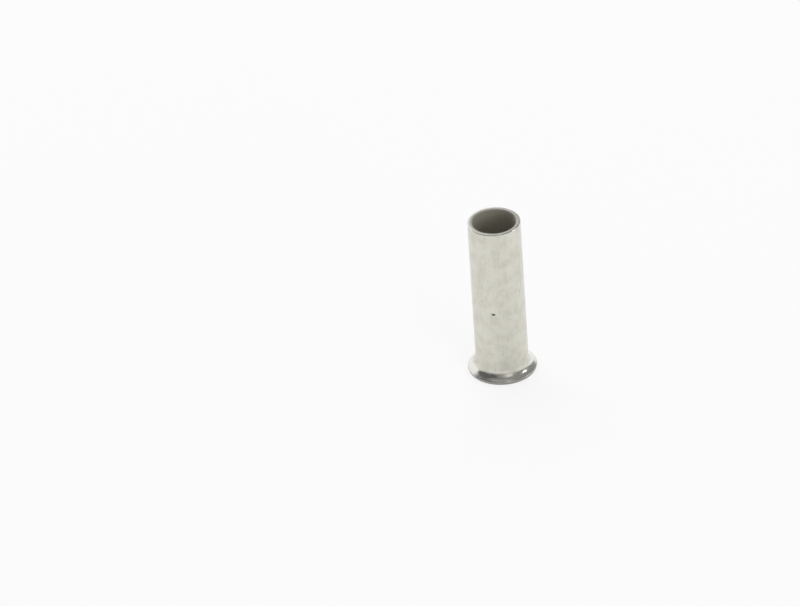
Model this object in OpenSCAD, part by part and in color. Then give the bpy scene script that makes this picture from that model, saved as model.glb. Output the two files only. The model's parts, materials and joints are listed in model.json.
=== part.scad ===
// Wire ferrule (bare end sleeve) for a fine-stranded 4 mm2 conductor.
// It is one drawn copper tube, tin-plated all over: cut square at the top, and at the
// foot its wall is turned outwards over a punch into a sloping lip that guides the strands in.
// Millimetres, +Z up the tube, with the origin at the centre of the circle it stands on.

/* [Tube] */
// Bore diameter, which sets the conductor that fits
bore_d = 2.8; // [2.2:0.05:4.5]
// Wall thickness, the same from the cut end to the lip
wall = 0.27; // [0.2:0.01:0.35]
// Overall length, from the lip's foot to the cut end
length = 10.9; // [6:0.05:18]

/* [Flared mouth] */
// How far the wall turns away from the tube, in degrees
flare_angle = 70; // [40:1:85]
// Radius of the bend between the tube and the lip, on the outside of the tube
bend_r = 0.6; // [0.25:0.01:1]
// Width of the lip beyond the bend, along its slope
lip_w = 0.15; // [0.1:0.01:0.6]

/* [Edges] */
// Rounding of the lip's two edges
lip_edge_r = 0.08; // [0.02:0.01:0.1]
// Rounding of the cut end's outer edge, drawn over by the saw
cut_outer_r = 0.05; // [0.01:0.01:0.1]
// Rounding of the cut end's inner edge, where the burr was brushed off
cut_inner_r = 0.03; // [0.01:0.01:0.09]

/* [Hidden] */
$fa = 4;
$fs = 0.02;

// A little past the metal, so that each cut passes right through the face it opens
past = 0.1;

bore_r = bore_d / 2;
barrel_r = bore_r + wall;

// The wall keeps its thickness round the bend, so both faces of it turn about one centre
bend_centre_r = barrel_r + bend_r;
mouth_r = bend_r + wall;

// The height of that centre, which puts the lip's rounded foot edge on the ground
slope_drop = mouth_r * sin(flare_angle) + lip_w * cos(flare_angle);
edge_lift = lip_edge_r * (sin(flare_angle) + cos(flare_angle) - 1);
bend_top = slope_drop - edge_lift;

// Longer than any cut needs to be
far = length + bend_centre_r + lip_w;

// One piece of metal, so one solid

// What a rounding takes off a square corner at the origin, whose metal lies up and to the right
module corner_waste(radius) {
    difference() {
        translate([-past, -past])
            square(radius + past);
        translate([radius, radius])
            circle(radius);
    }
}

// The room outside the tube, inside the bend and above the lip, about the bend's centre
module outside_room() {
    translate([-bend_r, 0])
        square(far);
    circle(bend_r);
    rotate(flare_angle)
        translate([-bend_r, -far])
            square(far);
}

// The room under the lip and round the bend, which together with the bore is the mouth
module mouth_room() {
    rotate(flare_angle)
        translate([-mouth_r - far, -far])
            square([far, 2 * far]);
    difference() {
        translate([-mouth_r - past, -far])
            square([mouth_r + past, far]);
        circle(mouth_r);
        rotate(flare_angle)
            translate([-far, -far])
                square([2 * far, far]);
    }
}

// What is cut away at the lip's end: the foot edge's rounding, then the upper edge's
module lip_end() {
    translate([-mouth_r - past, -lip_w - far])
        square([wall + 2 * past, far]);
    translate([-mouth_r, -lip_w])
        corner_waste(lip_edge_r);
    translate([-bend_r, -lip_w])
        mirror([1, 0])
            corner_waste(lip_edge_r);
}

// Half of the wall's section, with the tube's axis at x = 0 and the ground at y = 0
module wall_section() {
    difference() {
        translate([bore_r, -past])
            square([bend_centre_r + lip_w - bore_r, length + past]);
        translate([bend_centre_r, bend_top]) {
            outside_room();
            mouth_room();
            rotate(flare_angle)
                lip_end();
        }
        // the cut end's inner edge, then its outer edge
        translate([bore_r, length])
            mirror([0, 1])
                corner_waste(cut_inner_r);
        translate([barrel_r, length])
            mirror([1, 0])
                mirror([0, 1])
                    corner_waste(cut_outer_r);
    }
}

module sleeve() {
    color([0.76, 0.75, 0.70])
        rotate_extrude()
            wall_section();
}

sleeve();
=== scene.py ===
# %% [markdown]
# # A bare wire ferrule, standing on its lip
#
# An electrician slips this little sleeve over the stripped end of a stranded wire and crimps it.
# It is one length of drawn copper tube, tin-plated all over. One end is cut off square. At the
# other end a punch has turned the wall outwards into a sloping lip that guides the strands in.
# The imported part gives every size, so the first step is to load it and measure it.

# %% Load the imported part
import json
import math

import bmesh
import bpy
from mathutils import Matrix, Vector


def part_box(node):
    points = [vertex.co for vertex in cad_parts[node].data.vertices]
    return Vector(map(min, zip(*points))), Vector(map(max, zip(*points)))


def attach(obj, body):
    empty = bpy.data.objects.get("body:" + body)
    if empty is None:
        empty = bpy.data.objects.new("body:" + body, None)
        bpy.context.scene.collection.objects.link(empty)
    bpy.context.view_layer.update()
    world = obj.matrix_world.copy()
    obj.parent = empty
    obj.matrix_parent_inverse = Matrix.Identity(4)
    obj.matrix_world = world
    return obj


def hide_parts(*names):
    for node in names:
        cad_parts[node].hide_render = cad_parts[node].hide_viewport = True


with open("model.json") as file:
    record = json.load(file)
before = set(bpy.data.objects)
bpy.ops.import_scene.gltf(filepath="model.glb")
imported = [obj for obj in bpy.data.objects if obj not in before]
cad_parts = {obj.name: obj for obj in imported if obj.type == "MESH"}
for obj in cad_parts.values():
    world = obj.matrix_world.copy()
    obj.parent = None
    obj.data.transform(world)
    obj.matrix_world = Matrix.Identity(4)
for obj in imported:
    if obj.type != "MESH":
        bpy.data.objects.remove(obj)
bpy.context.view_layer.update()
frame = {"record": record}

MM = 0.001
mounts = {mount["name"]: mount for mount in frame["record"]["mounts"]}
print("mounts on the part:", sorted(mounts))

# %% [markdown]
# ## Sizes of the sleeve
#
# The record says where the tube is straight inside and outside, and what is left over at each end
# is a bend or a rounding. Only the flare's turn and the lip's rounding are given here. The bend's
# radius and the width of the slope beyond it follow from those two, the wall, the lip's radius and
# the height at which the tube becomes straight.

# %% Sizes of the sleeve


def straight_span(mount):
    """The heights between which a round mount's wall is straight."""
    middle = mount["pos_m"][2]
    half = mount["dims"]["length_mm"] * MM / 2
    return middle - half, middle + half


lowest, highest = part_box("sleeve")
length = highest.z - lowest.z
lip_r = highest.x
bore_r = mounts["wire_bore"]["dims"]["r_mm"] * MM
barrel_r = mounts["barrel"]["dims"]["r_mm"] * MM
wall = barrel_r - bore_r

bend_top, barrel_top = straight_span(mounts["barrel"])
bore_top = straight_span(mounts["wire_bore"])[1]
cut_outer_rounding = length - barrel_top
cut_inner_rounding = length - bore_top

FLARE_TURN = math.radians(70)
LIP_ROUNDING = 0.08 * MM
out, down = math.sin(FLARE_TURN), math.cos(FLARE_TURN)
spare = LIP_ROUNDING * (out + down - 1)
reach = lip_r - barrel_r + spare
drop = bend_top + spare - wall * out
bend_r = (drop * out - reach * down) / (out ** 2 - (1 - down) * down)
lip_w = (reach - bend_r * (1 - down)) / out
bend_centre_r = barrel_r + bend_r

for name, size in (("length", length), ("bore", 2 * bore_r), ("tube", 2 * barrel_r),
                   ("wall", wall), ("flare", 2 * lip_r), ("bend radius", bend_r),
                   ("slope beyond the bend", lip_w)):
    print(f"{name}: {size / MM:.3f} mm")

# %% [markdown]
# ## The sheet that becomes the wall
#
# The wall has one thickness from the cut end to the lip, so it is easiest to shape its outer face
# alone and to thicken it afterwards. A circle is laid at the lip's edge and then extruded: inwards
# across the lip, round the bend in equal steps of angle, and straight up the tube. Spinning a drawn
# profile would do as well, but extruding a ring keeps its faces in neat bands with no seam to weld.

# %% Draw the outer face of the wall
AROUND = 144
BEND_STEPS = 14
HOLD = 0.06 * MM


def deselect_all_objects():
    bpy.ops.object.select_all(action="DESELECT")


def next_ring(radius, height, last):
    """Extrudes the selected ring to a new radius and height, and returns where it now is."""
    last_radius, last_height = last
    rise = (0, 0, height - last_height)
    bpy.ops.mesh.extrude_region_move(TRANSFORM_OT_translate={"value": rise})
    change = radius / last_radius
    bpy.ops.transform.resize(value=(change, change, 1), center_override=(0, 0, 0))
    return radius, height


slope_end = (bend_centre_r - bend_r * down, bend_top - bend_r * out)
edge_r = slope_end[0] + lip_w * out
edge_z = slope_end[1] - lip_w * down

deselect_all_objects()
bpy.ops.mesh.primitive_circle_add(vertices=AROUND, radius=edge_r, location=(0, 0, edge_z))
sleeve = bpy.context.object
sleeve.name = "drawn_sleeve"
bpy.ops.object.transform_apply(location=True, rotation=True, scale=True)

bpy.ops.object.mode_set(mode="EDIT")
bpy.ops.mesh.select_all(action="SELECT")
ring = next_ring(*slope_end, (edge_r, edge_z))
for step in range(1, BEND_STEPS + 1):
    turn = FLARE_TURN * (1 - step / BEND_STEPS)
    ring = next_ring(bend_centre_r - bend_r * math.cos(turn),
                     bend_top - bend_r * math.sin(turn), ring)
ring = next_ring(barrel_r, bend_top + HOLD, ring)
TUBE_BANDS = 24
for band in range(1, TUBE_BANDS + 1):
    height = bend_top + HOLD + (barrel_top - bend_top - 2 * HOLD) * band / TUBE_BANDS
    ring = next_ring(barrel_r, height, ring)
ring = next_ring(barrel_r, length, ring)
bpy.ops.mesh.select_all(action="SELECT")
bpy.ops.mesh.normals_make_consistent(inside=False)
bpy.ops.object.mode_set(mode="OBJECT")
print("outer face:", len(sleeve.data.polygons), "faces")

# %% [markdown]
# ## Thickness
#
# Solidify turns the sheet into metal. Its even offset keeps the wall the same thickness round the
# bend, so the mouth inside gets its own larger radius about the same centre, as pressed tube does.
# The outer face has to look outwards first, or the wall would grow the wrong way.

# %% Thicken the wall inwards
barrel_face = max(sleeve.data.polygons, key=lambda face: face.center.z)
outward = Vector((barrel_face.center.x, barrel_face.center.y, 0))
if barrel_face.normal.dot(outward) < 0:
    sleeve.data.flip_normals()

bpy.ops.object.modifier_add(type="SOLIDIFY")
thickness = sleeve.modifiers[-1]
thickness.thickness = wall
thickness.offset = -1
thickness.use_even_offset = True
bpy.ops.object.modifier_apply(modifier=thickness.name)
inner = min(math.hypot(v.co.x, v.co.y) for v in sleeve.data.vertices)
print(f"bore after thickening: {2 * inner / MM:.3f} mm")

# %% [markdown]
# ## Edges
#
# No edge of a real ferrule is sharp: the punch leaves the lip rounded, and the saw drags a little
# metal over the cut end. Those small roundings catch the light, so each one is beveled at its own
# width. The rings are picked by their radius and height.

# %% Round the lip and the cut end
NEAR = 0.004 * MM


def pick_ring(radius, height):
    """Selects only the edges that lie on one level circle."""
    bpy.ops.mesh.select_all(action="DESELECT")
    shape = bmesh.from_edit_mesh(sleeve.data)
    picked = 0
    for edge in shape.edges:
        on_ring = all(abs(end.co.z - height) < NEAR
                      and abs(math.hypot(end.co.x, end.co.y) - radius) < NEAR
                      for end in edge.verts)
        edge.select_set(on_ring)
        picked += on_ring
    bmesh.update_edit_mesh(sleeve.data)
    return picked


bpy.ops.object.mode_set(mode="EDIT")
bpy.ops.mesh.select_mode(type="EDGE")
under_r, under_z = edge_r - wall * down, edge_z - wall * out
for edge_name, radius, height, rounding in (
        ("lip, foot", under_r, under_z, LIP_ROUNDING),
        ("lip, top", edge_r, edge_z, LIP_ROUNDING),
        ("cut end, outside", barrel_r, length, cut_outer_rounding),
        ("cut end, inside", bore_r, length, cut_inner_rounding)):
    picked = pick_ring(radius, height)
    bpy.ops.mesh.bevel(offset=rounding, segments=6, profile=0.5)
    print(f"{edge_name}: {picked} edges rounded by {rounding / MM:.3f} mm")
bpy.ops.mesh.select_all(action="SELECT")
bpy.ops.mesh.remove_doubles(threshold=0.0001 * MM)
bpy.ops.mesh.normals_make_consistent(inside=False)
bpy.ops.object.mode_set(mode="OBJECT")
bpy.ops.object.shade_smooth()
print("sleeve:", len(sleeve.data.polygons), "faces")

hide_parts("sleeve")
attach(sleeve, "root")

# %% [markdown]
# ## Shader maths
#
# The finishes are built from nodes. A long chain of Math nodes is hard to read, so a node's output
# is wrapped in a small class that knows + - and *, and one method makes every other node.

# %% Shader maths


class Wire:
    """A node's output, on which ordinary arithmetic adds Math nodes."""

    def __init__(self, graph, socket):
        self.graph = graph
        self.socket = socket

    def math(self, operation, first, second):
        return self.graph.add("ShaderNodeMath", {"operation": operation}, {0: first, 1: second})

    def __add__(self, other):
        return self.math("ADD", self, other)

    def __radd__(self, other):
        return self.math("ADD", other, self)

    def __sub__(self, other):
        return self.math("SUBTRACT", self, other)

    def __rsub__(self, other):
        return self.math("SUBTRACT", other, self)

    def __mul__(self, other):
        return self.math("MULTIPLY", self, other)

    def __rmul__(self, other):
        return self.math("MULTIPLY", other, self)


class Graph:
    """A node tree of a material or of the world."""

    def __init__(self, owner):
        owner.use_nodes = True
        self.tree = owner.node_tree
        self.tree.nodes.clear()

    def add(self, kind, settings=None, inputs=None, output=0):
        """Makes a node, sets its settings and then its inputs, and returns one of its outputs."""
        made = self.tree.nodes.new(kind)
        for name, value in (settings or {}).items():
            setattr(made, name, value)
        for name, value in (inputs or {}).items():
            if isinstance(value, Wire):
                self.tree.links.new(value.socket, made.inputs[name])
            else:
                made.inputs[name].default_value = value
        return Wire(self, made.outputs[output] if len(made.outputs) else None)

    def step(self, value, start, end):
        """0 below start and 1 above end, with a soft change between them."""
        return self.add("ShaderNodeMapRange", {"interpolation_type": "SMOOTHSTEP"},
                        {"Value": value, "From Min": start, "From Max": end})

    def either(self, first, second):
        """The larger of two masks."""
        return self.add("ShaderNodeMath", {"operation": "MAXIMUM"}, {0: first, 1: second})

    def noise(self, place, scale, detail=2.0, roughness=0.5):
        """A noise from 0 to 1 whose grains are about 1 / scale across."""
        return self.add("ShaderNodeTexNoise", {},
                        {"Vector": place, "Scale": scale, "Detail": detail,
                         "Roughness": roughness})

    def stretched(self, place, scales):
        """A place with each axis scaled by itself, to draw a pattern out along the others."""
        return self.add("ShaderNodeVectorMath", {"operation": "MULTIPLY"},
                        {0: place, 1: scales})

    def shifted(self, place, by):
        """A place moved, so that one kind of noise can be used again without repeating itself."""
        return self.add("ShaderNodeVectorMath", {"operation": "ADD"}, {0: place, 1: by})

    def away_from(self, place, centre):
        """The way to a place from a centre."""
        return self.shifted(place, [-part for part in centre])

    def length(self, vector):
        """How long a vector is."""
        return self.add("ShaderNodeVectorMath", {"operation": "LENGTH"}, {0: vector}, output=1)

    def blend(self, factor, first, second):
        """A colour between two colours."""
        return self.add("ShaderNodeMix", {"data_type": "RGBA"},
                        {0: factor, 6: first, 7: second}, output=2)


# %% [markdown]
# ## Tin plate: where on the sleeve
#
# One material covers the whole sleeve, because the real one was plated in one bath. Millimetres are
# worked out from the object's own place, and masks by height and radius pick out the bore, the
# burnished flare, the lip's end and the sawn end. The punch has burnished the bend a little less at
# the front, and the burnished part ends in a ragged edge.

# %% Masks by height and radius


def polar(around, radius, height):
    """A place given by its bearing in degrees, which is 0 on the camera's side."""
    turn = math.radians(around)
    return (math.sin(turn) * radius, -math.cos(turn) * radius, height)


tin = bpy.data.materials.new("tin_plate")
g = Graph(tin)

here = g.add("ShaderNodeTexCoord", output="Object")
place = g.stretched(here, (1 / MM, 1 / MM, 1 / MM))
radius = g.length(g.stretched(place, (1, 1, 0)))
z = g.add("ShaderNodeSeparateXYZ", {}, {0: place}, output="Z")

# Heights in millimetres
BURNISHED_TO = 0.52
RAGGED_BY = 0.35
LESS_AT_FRONT = 0.17
BURNISH_SOFT = 0.05
LIP_END_FADES = (0.20, 0.262)
ragged = g.noise(g.stretched(place, (5, 5, 1.6)), 1.0, detail=3.0) - 0.5
from_front = g.length(g.away_from(place, polar(7, 1.95, 0.45)))
less_rubbed = 1 - g.step(from_front, 0.30, 0.65)
burnished_to = BURNISHED_TO + ragged * RAGGED_BY - LESS_AT_FRONT * less_rubbed
on_flare = 1 - g.step(z - burnished_to, -BURNISH_SOFT, BURNISH_SOFT)

top = length / MM
# The lip's end: rougher, and darkened below as painted shade.
on_lip_end = 1 - g.step(z, *LIP_END_FADES)
on_cut_end = g.step(z, top - 0.03, top - 0.01)
middle_r = (bore_r + barrel_r) / 2 / MM
# Inside the bore: rougher and less metallic, and darkened below as painted shade.
in_bore = (1 - g.step(radius, middle_r - 0.06, middle_r + 0.02)) * (1 - on_flare)
print(f"burnished up to about {BURNISHED_TO} mm")

# %% [markdown]
# ## Tin plate: marks
#
# The tube was drawn through a die before it was plated, so faint lines run along it. Tumbling in
# the plating barrel left it matt, with a soft mottle and short scuffs in places. There is also one
# dark speck.
# Each kind of mark is a noise of its own size. Lines and scuffs are drawn out along the tube, and
# the mottle and the grain are as wide as they are high.

# %% Lines, mottle, scuffs and a speck
clouds = g.noise(place, 1.3, detail=5.0, roughness=0.62)
lines = g.noise(g.stretched(place, (7, 7, 0.35)), 1.0, detail=4.0, roughness=0.6)
grain = g.noise(place, 24.0, detail=3.0, roughness=0.6)

rubbed = g.step(g.noise(g.shifted(place, (7, 3, 5)), 0.75), 0.46, 0.60)
scuffs = g.step(g.noise(g.stretched(place, (11, 11, 2.2)), 1.0, detail=2.0), 0.60, 0.72) * rubbed

SPECK_SIZE = (0.14, 0.16, 0.085)
speck_at = polar(-13.8, barrel_r / MM, 5.0)
from_speck = g.stretched(g.away_from(place, speck_at), [1 / size for size in SPECK_SIZE])
speck = 1 - g.step(g.length(from_speck) + (grain - 0.5) * 1.2, 0.7, 1.15)
print(f"speck: {speck_at[2]} mm up")

# %% [markdown]
# ## Tin plate: colour and shine
#
# Plain tin is a warm pale grey. Where it is dull it is also a little darker, and where it is
# burnished it is lighter and smoother. The lip's own end is dull, and its colour is darkened
# further as painted shade for the shadowed sheet it mirrors. The sawn end is bright. Inside the
# bore the colour is darkened as painted shade for the deep hollow, and it is rougher and less
# metallic there. The speck is a dark mark that is hardly metal at all.

# %% Colour, roughness and relief
TIN = (0.785, 0.774, 0.69, 1)
TIN_DULL = (0.67, 0.650, 0.56, 1)
TIN_BRIGHT = (0.80, 0.79, 0.735, 1)
# Painted shade: the lip's end is darker in colour for the shadowed sheet it mirrors.
LIP_END_PAINTED_SHADE = (0.46, 0.45, 0.42, 1)
# Painted shade: the bore is darker in colour for its deep hollow.
BORE_PAINTED_SHADE = (0.54, 0.515, 0.445, 1)
SPECK_DARK = (0.11, 0.10, 0.08, 1)
shade = (clouds - 0.5) * 2.4 + (lines - 0.5) * 0.7 + scuffs * 1.0 + 0.36
colour = g.blend(g.step(shade, 0.0, 1.0), TIN, TIN_DULL)
colour = g.blend(g.either(on_flare, on_cut_end), colour, TIN_BRIGHT)
# Painted shade on the lip's end.
colour = g.blend(on_lip_end, colour, LIP_END_PAINTED_SHADE)
# Painted shade inside the bore.
colour = g.blend(in_bore, colour, BORE_PAINTED_SHADE)
colour = g.blend(speck, colour, SPECK_DARK)

roughness = 0.35 + (clouds - 0.5) * 0.16 + (lines - 0.5) * 0.08 - scuffs * 0.06
roughness = roughness - on_flare * 0.17 - on_cut_end * 0.15 + on_lip_end * 0.20
roughness = roughness + in_bore * 0.25 + speck * 0.3
metallic = 1 - in_bore * 0.3 - speck * 0.8

relief = (lines * 0.45 + grain * 0.35 - scuffs * 0.5) * (1 - 0.7 * on_flare) - speck * 1.5
bump = g.add("ShaderNodeBump", {}, {"Strength": 0.35, "Distance": 0.01 * MM, "Height": relief})
surface = g.add("ShaderNodeBsdfPrincipled", {}, {
    "Base Color": colour, "Metallic": metallic, "Roughness": roughness,
    "Sheen Weight": 1.0, "Sheen Roughness": 0.3, "Normal": bump})
g.add("ShaderNodeOutputMaterial", {}, {"Surface": surface})
sleeve.data.materials.clear()
sleeve.data.materials.append(tin)
print("tin plate:", len(g.tree.nodes), "nodes")

# %% [markdown]
# ## Floor
#
# The sleeve stands on a white sheet. Part of the sheet's white is its own, so that it stays white
# to the eye and in the metal. The rest is lit by the lamps, so that it keeps the shadows, and the
# metal shows them more plainly than the eye sees them, which darkens the lip near the sheet. The
# lip's end is darkened further by painted shade in its own colour.

# %% White sheet
FLOOR_ACROSS = 3.0
OWN_WHITE = 0.80
OWN_WHITE_IN_METAL = 0.15


def ray_kinds(graph):
    """What a ray is on: the eye's own rays, and those that metal or glass sends on."""
    path = graph.add("ShaderNodeLightPath").socket.node
    by_eye = Wire(graph, path.outputs["Is Camera Ray"])
    by_metal = (Wire(graph, path.outputs["Is Glossy Ray"])
                + Wire(graph, path.outputs["Is Transmission Ray"]))
    return by_eye, by_metal


deselect_all_objects()
bpy.ops.mesh.primitive_plane_add(size=FLOOR_ACROSS, location=(0, 0, lowest.z))
floor = bpy.context.object
floor.name = "white_sheet"

paper = bpy.data.materials.new("white_paper")
g = Graph(paper)
by_eye, by_metal = ray_kinds(g)
own = by_eye * OWN_WHITE + by_metal * OWN_WHITE_IN_METAL
glow = g.add("ShaderNodeEmission", {}, {"Color": (1, 1, 1, 1), "Strength": 1.0})
lit = g.add("ShaderNodeBsdfDiffuse", {}, {"Color": (0.9, 0.9, 0.9, 1)})
both = g.add("ShaderNodeMixShader", {}, {0: own, 1: lit, 2: glow})
g.add("ShaderNodeOutputMaterial", {}, {"Surface": both})
floor.data.materials.append(paper)

# %% [markdown]
# ## Room
#
# The room is white all round, to the eye and in the metal. As plain light it is turned down, which
# leaves most of the work to the lamps, and so there are shadows at all.

# %% White room
ROOM_LIGHT = 0.44
world = bpy.data.worlds.new("white_room")
bpy.context.scene.world = world
g = Graph(world)
by_eye, by_metal = ray_kinds(g)
strength = ROOM_LIGHT + (by_eye + by_metal) * (1 - ROOM_LIGHT)
sky = g.add("ShaderNodeBackground", {}, {"Color": (1, 1, 1, 1), "Strength": strength})
g.add("ShaderNodeOutputWorld", {}, {"Surface": sky})

# %% [markdown]
# ## Cards
#
# Bright metal in a white room shows no shape, so dark and grey cards are hung round it for it to
# mirror. Here they are one dome with a wide opening on the left and behind.
# Its faces are picked by the direction in which they lie. Only mirrored rays see it, so it neither
# shades the sheet nor shows behind the sleeve.

# %% Dark and grey cards
DOME_R = 0.9

# Bearings of the cards' edges and their heights above the floor, in degrees
DARK_LEFT, DARK_RIGHT, GREY_RIGHT = -97, -31, 150
DARK_UP, GREY_UP, GREY_UP_FAR_RIGHT, GREY_UP_BEHIND, ROOF_UP = 11, 15, 28, 46, 66

# How much further left the dark card's left edge is for each degree up from a height
DARK_LEAN, LEAN_FROM = 0.9, 12

deselect_all_objects()
bpy.ops.mesh.primitive_uv_sphere_add(segments=120, ring_count=60, radius=DOME_R)
dome = bpy.context.object
dome.name = "cards"


def direction_of(point):
    """Around is 0 on the camera's side and grows to the right. Up is 0 at the floor."""
    around = math.degrees(math.atan2(point.x, -point.y))
    return around, math.degrees(math.asin(point.z / point.length))


def card_at(around, up):
    """Which card hangs in a direction, or None where the dome is open."""
    if up > ROOF_UP:
        return "grey_card"
    if DARK_LEFT - DARK_LEAN * (up - LEAN_FROM) < around < DARK_RIGHT:
        return "dark_card" if up > DARK_UP else None
    on_near_side = up > GREY_UP and DARK_RIGHT < around < GREY_RIGHT
    on_far_right = up > GREY_UP_FAR_RIGHT and around > DARK_RIGHT
    if up > GREY_UP_BEHIND or on_far_right or on_near_side:
        return "grey_card"
    return None


for name, strength in (("dark_card", 0.12), ("grey_card", 0.26)):
    card = bpy.data.materials.new(name)
    card.cycles.emission_sampling = "NONE"
    g = Graph(card)
    glow = g.add("ShaderNodeEmission", {}, {"Color": (1, 1, 1, 1), "Strength": strength})
    g.add("ShaderNodeOutputMaterial", {}, {"Surface": glow})
    dome.data.materials.append(card)

bpy.ops.object.mode_set(mode="EDIT")
bpy.ops.mesh.select_mode(type="FACE")
shape = bmesh.from_edit_mesh(dome.data)
for face in shape.faces:
    card = card_at(*direction_of(face.calc_center_median()))
    face.select_set(card is None)
    face.material_index = 1 if card == "grey_card" else 0
bmesh.update_edit_mesh(dome.data)
bpy.ops.mesh.delete(type="FACE")
bpy.ops.object.mode_set(mode="OBJECT")
dome.visible_camera = False
dome.visible_diffuse = False
dome.visible_shadow = False
print("cards:", len(dome.data.polygons), "faces")

# %% [markdown]
# ## Lamps
#
# Two broad soft boxes, one behind on the left and a smaller one in front on the right, light the
# sheet from both sides and leave two faint shadows. The metal doesn't mirror them. A tall one near
# the camera streaks the front of the bend, and a small one on the right puts the glint in it.

# %% Lamps
LAMP_AWAY = 0.6


def soft_box(name, around, up, size, radiance):
    """A flat lamp aimed at the sleeve, with its width and height in metres."""
    a = math.radians(around)
    e = math.radians(up)
    toward = Vector((math.sin(a) * math.cos(e), -math.cos(a) * math.cos(e), math.sin(e)))
    deselect_all_objects()
    bpy.ops.object.light_add(type="AREA", location=toward * LAMP_AWAY)
    lamp = bpy.context.object
    lamp.name = name
    lamp.rotation_euler = toward.to_track_quat("Z", "Y").to_euler()
    lamp.data.shape = "RECTANGLE"
    lamp.data.size, lamp.data.size_y = size
    lamp.data.energy = radiance * math.pi * size[0] * size[1]
    lamp.visible_camera = False
    print(f"{name}: {lamp.data.energy:.3f} W")
    return lamp


for name, around, up, size, radiance in (
        ("back_left_box", -164, 30, (1.00, 0.40), 2.7),
        ("front_right_box", 38, 17, (0.40, 0.20), 5.6)):
    soft_box(name, around, up, size, radiance).visible_glossy = False
soft_box("front_box", around=23, up=43, size=(0.08, 0.30), radiance=3.0)
soft_box("right_box", around=97, up=39, size=(0.075, 0.10), radiance=8.0)

# %% [markdown]
# ## Camera
#
# A long lens from well back shows the sleeve almost without perspective. The camera looks down at
# it, is held a little askew, and leaves the sleeve to the right of the middle.

# %% Camera
CAMERA_UP = 33.2
CAMERA_TURN = 3.9
CAMERA_AWAY = 0.60
SEEN_WIDTH = 0.0502
SENSOR = 0.036
SLEEVE_TO_RIGHT = 6.17 * MM
SLEEVE_ABOVE = 0.55 * MM

deselect_all_objects()
up = math.radians(CAMERA_UP)
back = Vector((0, -math.cos(up), math.sin(up)))
level = back.to_track_quat("Z", "Y").to_matrix()
turned = level @ Matrix.Rotation(math.radians(-CAMERA_TURN), 3, "Z")
right, over = turned.col[0], turned.col[1]
aim = Vector((0, 0, length / 2)) - right * SLEEVE_TO_RIGHT - over * SLEEVE_ABOVE
bpy.ops.object.camera_add(location=aim + back * CAMERA_AWAY, rotation=turned.to_euler())
camera = bpy.context.object
camera.data.sensor_width = SENSOR / MM
camera.data.lens = SENSOR / MM * CAMERA_AWAY / SEEN_WIDTH
camera.data.clip_start = 0.01
bpy.context.scene.camera = camera
bpy.context.scene.view_settings.view_transform = "Standard"
print(f"lens: {camera.data.lens:.0f} mm")
